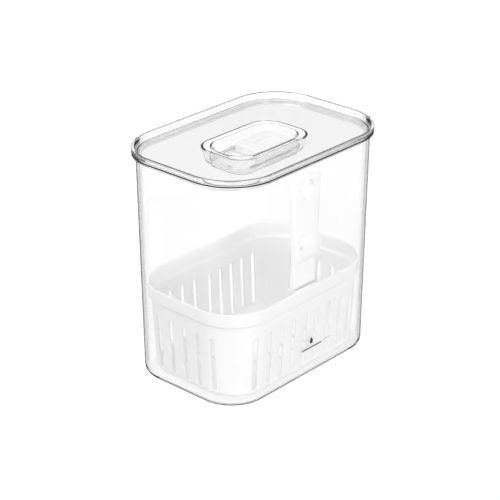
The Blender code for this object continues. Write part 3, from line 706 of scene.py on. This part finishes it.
def build_vent_plate(material):
    """The white plate at the well's foot, with air slots at its +X end."""
    plate = inset(KNOB_FOOT, KNOB_WALL + FIT)
    flat = inset(plate, VENT_BASE_FLAT_INSET)
    corners = [
        Corner(flat, VENT_BASE_LOW, 0),
        Corner(plate, VENT_BASE_LOW, CRISP),
        Corner(plate, VENT_BASE_HIGH, CRISP),
        Corner(flat, VENT_BASE_HIGH, 0),
    ]
    piece = new_piece("vent_plate", section_loft(corners, closed=False), material)
    cutter = bmesh.new()
    for x in VENT_SLOT_XS:
        centre = Vector((x, 0.0, VENT_BASE_LOW - CUT_PAST))
        points = stadium(centre, Vector((0, 1, 0)), Vector((1, 0, 0)), VENT_SLOT_LENGTH, VENT_SLOT_WIDTH)
        add_prism(cutter, points, Vector((0, 0, VENT_BASE_THICKNESS + 2 * CUT_PAST)))
    tool = combine(piece, cutter, "DIFFERENCE", "air_slots")
    bake_modifiers(piece, [tool])
    even_normals(piece)
    hand_over(piece, "lid", "vent_base")


def slider_ring(inset_by, z):
    """The slider's plan at height z: square at its left end, round at its right end."""
    well = inset(KNOB_FOOT, KNOB_WALL)
    right = well.half_x - SLIDER_SIDE_GAP - inset_by
    left = SLIDER_LEFT + inset_by
    half_y = well.half_y - SLIDER_SIDE_GAP - inset_by
    points = []
    corners = ((right, half_y, SLIDER_ROUND_RADIUS, 0), (left, half_y, SLIDER_SQUARE_RADIUS, 90),
               (left, -half_y, SLIDER_SQUARE_RADIUS, 180), (right, -half_y, SLIDER_ROUND_RADIUS, 270))
    for end_x, end_y, full_radius, start in corners:
        radius = full_radius - inset_by
        corner_x = end_x - math.copysign(radius, end_x - (left + right) / 2)
        corner_y = end_y - math.copysign(radius, end_y)
        for step in range(CORNER_STEPS + 1):
            angle = math.radians(start + 90 * step / CORNER_STEPS)
            x = corner_x + radius * math.cos(angle)
            y = corner_y + radius * math.sin(angle)
            points.append(Vector((x, y, z)))
    return points


def build_slider(material):
    """The white block over the air slots, with a thumb recess in its top."""
    low = VENT_BASE_HIGH + FIT
    rings = [slider_ring(SLIDER_FOOT_EDGE, low), slider_ring(0.0, low + SLIDER_FOOT_EDGE)]
    for step in range(SLIDER_EDGE_STEPS + 1):
        angle = math.radians(90 * step / SLIDER_EDGE_STEPS)
        z = SLIDER_TOP - SLIDER_EDGE * (1 - math.sin(angle))
        rings.append(slider_ring(SLIDER_EDGE * (1 - math.cos(angle)), z))
    piece = new_piece("slider_block", loft(rings, closed=False), material)
    middle = (SLIDER_LEFT + inset(KNOB_FOOT, KNOB_WALL).half_x) / 2
    deep = SLIDER_TOP - THUMB_RECESS_DEPTH
    corners = [
        Corner(inset(THUMB_RECESS, THUMB_RECESS_FLAT_INSET), deep, 0),
        Corner(inset(THUMB_RECESS, THUMB_RECESS_DRAFT), deep, THUMB_RECESS_ROUND),
        Corner(THUMB_RECESS, SLIDER_TOP + CUT_PAST, 0),
    ]
    recess = section_loft(corners, closed=False, centre=(middle, 0.0))
    tool = combine(piece, recess, "DIFFERENCE", "thumb_recess")
    bake_modifiers(piece, [tool])
    even_normals(piece)
    hand_over(piece, "vent", "vent_slider")


# ---- basket ------------------------------------------------------------------------------------
def basket_shell():
    """The basket without its slots: tapered walls with a stepped band round the rim."""
    def wall(z, amount, reach):
        return Corner(inset(basket_outline(z), amount), z, reach)

    band_foot = basket_outline(RIM_BAND_LOW)
    floor = BASKET_BOTTOM + BASKET_FLOOR
    ledge = RIM_BAND_LOW + 0.41 * BASKET_WALL      # the sloping ledge keeps the wall's thickness
    flat = inset(BASKET_BASE, BASKET_FLAT_INSET)
    corners = [
        Corner(flat, BASKET_BOTTOM, 0),
        wall(BASKET_BOTTOM, 0.0, BASKET_FOOT_ROUND),
        Corner(band_foot, RIM_BAND_LOW, BASKET_RIM_ROUND),
        Corner(inset(band_foot, -RIM_BAND_STEP), RIM_BAND_LOW + RIM_BAND_STEP, RIM_BAND_ROUND),
        Corner(BASKET_RIM, BASKET_TOP, BASKET_RIM_ROUND),
        Corner(inset(BASKET_RIM, BASKET_WALL), BASKET_TOP, BASKET_RIM_ROUND),
        Corner(inset(band_foot, BASKET_WALL - RIM_BAND_STEP), ledge + RIM_BAND_STEP, RIM_BAND_ROUND),
        Corner(inset(band_foot, BASKET_WALL), ledge, RIM_BAND_ROUND),
        wall(floor, BASKET_WALL, BASKET_INNER_ROUND),
        Corner(flat, floor, 0),
    ]
    return section_loft(corners, closed=False)


def slot_cutters():
    """Prisms for the slots in the four walls and in the floor."""
    cutter = bmesh.new()
    along_x = Vector((1, 0, 0))
    along_y = Vector((0, 1, 0))
    up = Vector((0, 0, 1))
    length = WALL_SLOT_TOP - WALL_SLOT_BOTTOM
    middle = (WALL_SLOT_BOTTOM + WALL_SLOT_TOP) / 2
    walls = ((LONG_WALL_SLOTS, along_x, along_y, BASKET_RIM.half_y),
             (SHORT_WALL_SLOTS, along_y, along_x, BASKET_RIM.half_x))
    for count, along, outwards, reach in walls:
        for index in range(count):
            offset = (index - (count - 1) / 2) * WALL_SLOT_PITCH
            for side in (1, -1):
                start = reach * WALL_SLOT_START
                centre = along * offset + outwards * side * start + up * middle
                points = stadium(centre, up, along, length, WALL_SLOT_WIDTH)
                add_prism(cutter, points, outwards * side * (reach + 2 * CUT_PAST - start))
    for column in FLOOR_SLOT_COLUMNS:
        for side in (1, -1):
            centre = Vector((column * FLOOR_SLOT_PITCH, side * FLOOR_SLOT_PITCH, BASKET_BOTTOM - CUT_PAST))
            points = stadium(centre, along_y, along_x, FLOOR_SLOT_LENGTH, FLOOR_SLOT_WIDTH)
            add_prism(cutter, points, up * (BASKET_FLOOR + 2 * CUT_PAST))
    return cutter


def socket_block():
    """The ledge inside the rim that takes the handle's foot, with a sloping underside."""
    band_inner = -(BASKET_RIM.half_y - BASKET_WALL / 2)
    low = BASKET_TOP - SOCKET_DEPTH
    profile = ((band_inner, low - SOCKET_SLOPE), (SOCKET_BACK - SOCKET_UNDER_WIDTH, low), (SOCKET_BACK, low),
               (SOCKET_BACK, BASKET_TOP - SOCKET_EDGE),
               (SOCKET_BACK - SOCKET_EDGE / 3, BASKET_TOP - SOCKET_EDGE / 3),
               (SOCKET_BACK - SOCKET_EDGE, BASKET_TOP), (band_inner, BASKET_TOP))
    return side_prism(profile, SOCKET_HALF_WIDTH)


def socket_hole():
    """The slot through the ledge, widened at its mouth along the handle's outer face."""
    front = BLADE_FRONT - FIT
    back = BLADE_FRONT + BLADE_THICKNESS + FIT
    mouth = front - SOCKET_MOUTH_WIDENING
    low = BASKET_TOP - SOCKET_HOLE_DEPTH
    high = BASKET_TOP + CUT_PAST
    mouth_low = BASKET_TOP - SOCKET_MOUTH_DEPTH
    profile = ((front, low), (back, low), (back, high), (mouth, high), (mouth, mouth_low),
               (front, mouth_low - SOCKET_MOUTH_WIDENING))
    return side_prism(profile, BLADE_HALF_WIDTH + FIT)


def build_basket(material):
    """The white drain basket with the handle's socket on its -Y wall."""
    piece = new_piece("basket_shell", basket_shell(), material)
    tools = [combine(piece, slot_cutters(), "DIFFERENCE", "slots"),
             combine(piece, socket_block(), "UNION", "socket"),
             combine(piece, socket_hole(), "DIFFERENCE", "socket_hole")]
    bake_modifiers(piece, tools)
    even_normals(piece)
    hand_over(piece, "basket", "basket")


# ---- lift handle ---------------------------------------------------------------------------------
def handle_section(front, back, half_width, z):
    """A flat rounded bar's section at height z."""
    outline = Outline(half_width, (back - front) / 2, HANDLE_EDGE_RADIUS)
    return ring(outline, z, (0.0, (front + back) / 2), steps=HANDLE_EDGE_STEPS)


def handle_strip():
    """The strip without its holes: blade, boss and grip. The boss swells fast and eases back to the grip."""
    blade_back = BLADE_FRONT + BLADE_THICKNESS
    grip_back = GRIP_FRONT + GRIP_THICKNESS
    boss_depth = BLADE_FRONT - BOSS_FRONT
    tip_front = BLADE_FRONT + BLADE_TIP_STEP
    tip_back = blade_back - BLADE_TIP_STEP
    rings = [
        handle_section(tip_front, tip_back, BLADE_HALF_WIDTH - BLADE_TIP_SIDE_STEP, BLADE_BOTTOM),
        handle_section(BLADE_FRONT, blade_back, BLADE_HALF_WIDTH, BLADE_BOTTOM + BLADE_TIP_HEIGHT),
        handle_section(BLADE_FRONT, blade_back, BLADE_HALF_WIDTH, BOSS_LOW),
    ]
    for step in range(1, BOSS_STEPS):
        share = step / BOSS_STEPS
        bulge = math.sin(math.pi * share) ** 0.55 * (1 - 0.25 * share)
        front = BLADE_FRONT + (GRIP_FRONT - BLADE_FRONT) * share - boss_depth * bulge * (1 - 0.38 * share)
        back = blade_back + (grip_back - blade_back) * share
        half_width = BLADE_HALF_WIDTH + (GRIP_LOW_HALF_WIDTH - BLADE_HALF_WIDTH) * share ** 0.5
        z = BOSS_LOW + (BOSS_HIGH - BOSS_LOW) * share
        rings.append(handle_section(max(front, BOSS_FRONT), back, half_width, z))
    rings.append(handle_section(GRIP_FRONT, grip_back, GRIP_LOW_HALF_WIDTH, BOSS_HIGH))
    for step in range(GRIP_CORNER_STEPS + 1):
        angle = math.radians(90 * step / GRIP_CORNER_STEPS)
        half_width = GRIP_HIGH_HALF_WIDTH - GRIP_CORNER_RADIUS * (1 - math.cos(angle))
        z = GRIP_TOP - GRIP_CORNER_RADIUS * (1 - math.sin(angle))
        rings.append(handle_section(GRIP_FRONT, grip_back, half_width, z))
    return loft(rings, closed=False)


def build_handle(material):
    """The white strip that plugs into the basket, with a finger hole, a dish and a snap hole."""
    piece = new_piece("handle_strip", handle_strip(), material)
    hole = rod(0.0, FINGER_HOLE_Z, FINGER_HOLE_RADIUS, GRIP_FRONT - 2 * CUT_PAST,
               GRIP_THICKNESS + 4 * CUT_PAST, steps=48)
    snap = rod(SNAP_HOLE_X, SNAP_HOLE_Z, SNAP_HOLE_RADIUS, BOSS_FRONT - CUT_PAST,
               SNAP_HOLE_DEPTH + CUT_PAST, steps=24)
    dish = bmesh.new()
    bmesh.ops.create_uvsphere(dish, u_segments=40, v_segments=20, radius=DIMPLE_RADIUS)
    bmesh.ops.scale(dish, verts=dish.verts, vec=(1.0, DIMPLE_DEPTH / DIMPLE_RADIUS, 1.0))
    bmesh.ops.translate(dish, verts=dish.verts, vec=DIMPLE)
    tools = [combine(piece, hole, "DIFFERENCE", "finger_hole"),
             combine(piece, dish, "DIFFERENCE", "dimple"),
             combine(piece, snap, "DIFFERENCE", "snap_hole")]
    bake_modifiers(piece, tools, sharp=35)
    even_normals(piece)
    hand_over(piece, "basket", "lift_handle")


# ---- printed marks -------------------------------------------------------------------------------
def print_mark(name, points, material):
    """A thin film of ink on the bin's -Y wall, with the outline given as (x, z) pairs."""
    wall = [Vector((x, -(bin_outline(z).half_y + INK_GAP), z)) for x, z in points]
    body = bmesh.new()
    add_prism(body, wall, Vector((0, -INK_THICKNESS, 0)))
    piece = new_piece(name, body, material)
    hand_over(piece, "bin")


def rectangle(left, low, right, high):
    """The (x, z) corners of an upright rectangle."""
    return [(left, low), (right, low), (right, high), (left, high)]


def build_marks(ink, faint_ink):
    """The level line, its drop, round below and pointed above, and plain dashes in place of the words."""
    print_mark("level_line", rectangle(LINE_LEFT, LINE_LOW, LINE_RIGHT, LINE_HIGH), ink)
    points = []
    for step in range(DROP_STEPS):
        angle = math.radians(360 * step / DROP_STEPS)
        x = DROP_X + DROP_HALF_WIDTH * math.sin(angle) * math.sin(angle / 2) ** 1.2
        points.append((x, DROP_Z + DROP_HALF_HEIGHT * math.cos(angle)))
    print_mark("level_drop", points, ink)
    left = TICK_LEFT
    for index, width in enumerate(TICK_WIDTHS):
        print_mark(f"level_tick_{index + 1}", rectangle(left, TICK_LOW, left + width, TICK_HIGH), faint_ink)
        left += width + TICK_GAP


# ---- studio --------------------------------------------------------------------------------------
def build_world():
    """A white sky that is dimmer near the horizon, though less so towards +X."""
    world = bpy.data.worlds.new("studio")
    bpy.context.scene.world = world
    world.use_nodes = True
    tree = world.node_tree
    place = tree.nodes.new("ShaderNodeTexCoord")
    split = tree.nodes.new("ShaderNodeSeparateXYZ")
    feed(tree, split.inputs["Vector"], place.outputs["Generated"])
    horizon = add_range(tree, split.outputs["X"], *HORIZON_BRIGHTNESS, span=SKY_TURN, smooth=True)
    sky = add_range(tree, split.outputs["Z"], horizon, SKY_BRIGHTNESS, span=SKY_RISE, smooth=True)
    background = tree.nodes["Background"]
    background.inputs["Color"].default_value = grey(1.0)
    feed(tree, background.inputs["Strength"], sky)


def aim(holder, place, target):
    """Puts a light or the camera at place, looking at target."""
    holder.location = place
    holder.rotation_euler = (Vector(target) - Vector(place)).to_track_quat("-Z", "Y").to_euler()
    bpy.context.scene.collection.objects.link(holder)


def build_studio():
    """The sky, the floor, the lights and the camera."""
    build_world()
    body = bmesh.new()
    bmesh.ops.create_circle(body, cap_ends=True, segments=96, radius=FLOOR_RADIUS)
    floor = new_piece("studio_floor", body, floor_material())
    floor.location.z = -FLOOR_DROP
    for light in LIGHTS:
        lamp = bpy.data.lights.new(light.name, "AREA")
        lamp.shape = "SQUARE"
        lamp.size = light.size
        lamp.energy = light.power
        aim(bpy.data.objects.new(light.name, lamp), light.place, light.target)
    camera = bpy.data.cameras.new("camera")
    camera.lens = CAMERA_LENS
    camera.sensor_width = SENSOR_WIDTH
    camera.clip_end = CAMERA_REACH
    holder = bpy.data.objects.new("camera", camera)
    aim(holder, CAMERA_PLACE, CAMERA_TARGET)
    scene = bpy.context.scene
    scene.camera = holder
    scene.view_settings.view_transform = "Standard"
    scene.cycles.max_bounces = LIGHT_BOUNCES
    scene.cycles.transmission_bounces = LIGHT_BOUNCES
    scene.cycles.transparent_max_bounces = LIGHT_BOUNCES


def main():
    """Makes the materials, the pieces and the studio."""
    # edge sets the grey of each clear plastic's painted dark edge, where it is seen edge-on
    clear = clear_material("clear_plastic", tint=0.992, haze=0.01, absorption=0.3, edge=0.1)
    lid_clear = clear_material("lid_clear_plastic", tint=0.995, haze=0.01, absorption=1.0, edge=0.8)
    knob_clear = clear_material("knob_clear_plastic", tint=0.995, haze=0.02, absorption=2.0, edge=0.6)
    silicone = clear_material("clear_silicone", tint=0.995, haze=0.08, absorption=2.0, edge=0.95, ior=1.41)
    basket_white = white_material("basket_white_plastic", tone=0.975, glow=0.6)
    handle_white = white_material("handle_white_plastic", tone=0.975, glow=0.5)
    vent_white = white_material("vent_white_plastic", tone=0.88, glow=0.4)
    # the slider's white is a darker copy of the white plastic: painted shade for its place in the well under
    # the knob
    slider_shaded_white = white_material("slider_white_plastic", tone=0.82, glow=0.2)
    ink = ink_material("grey_ink", (0.02, 0.02, 0.022))
    faint_ink = ink_material("faint_ink", (0.55, 0.55, 0.55))

    build_bin(clear)
    build_lid(lid_clear)
    build_seal(silicone)
    build_knob(knob_clear)
    build_vent_plate(vent_white)
    build_slider(slider_shaded_white)
    build_basket(basket_white)
    build_handle(handle_white)
    build_marks(ink, faint_ink)
    build_studio()


main()
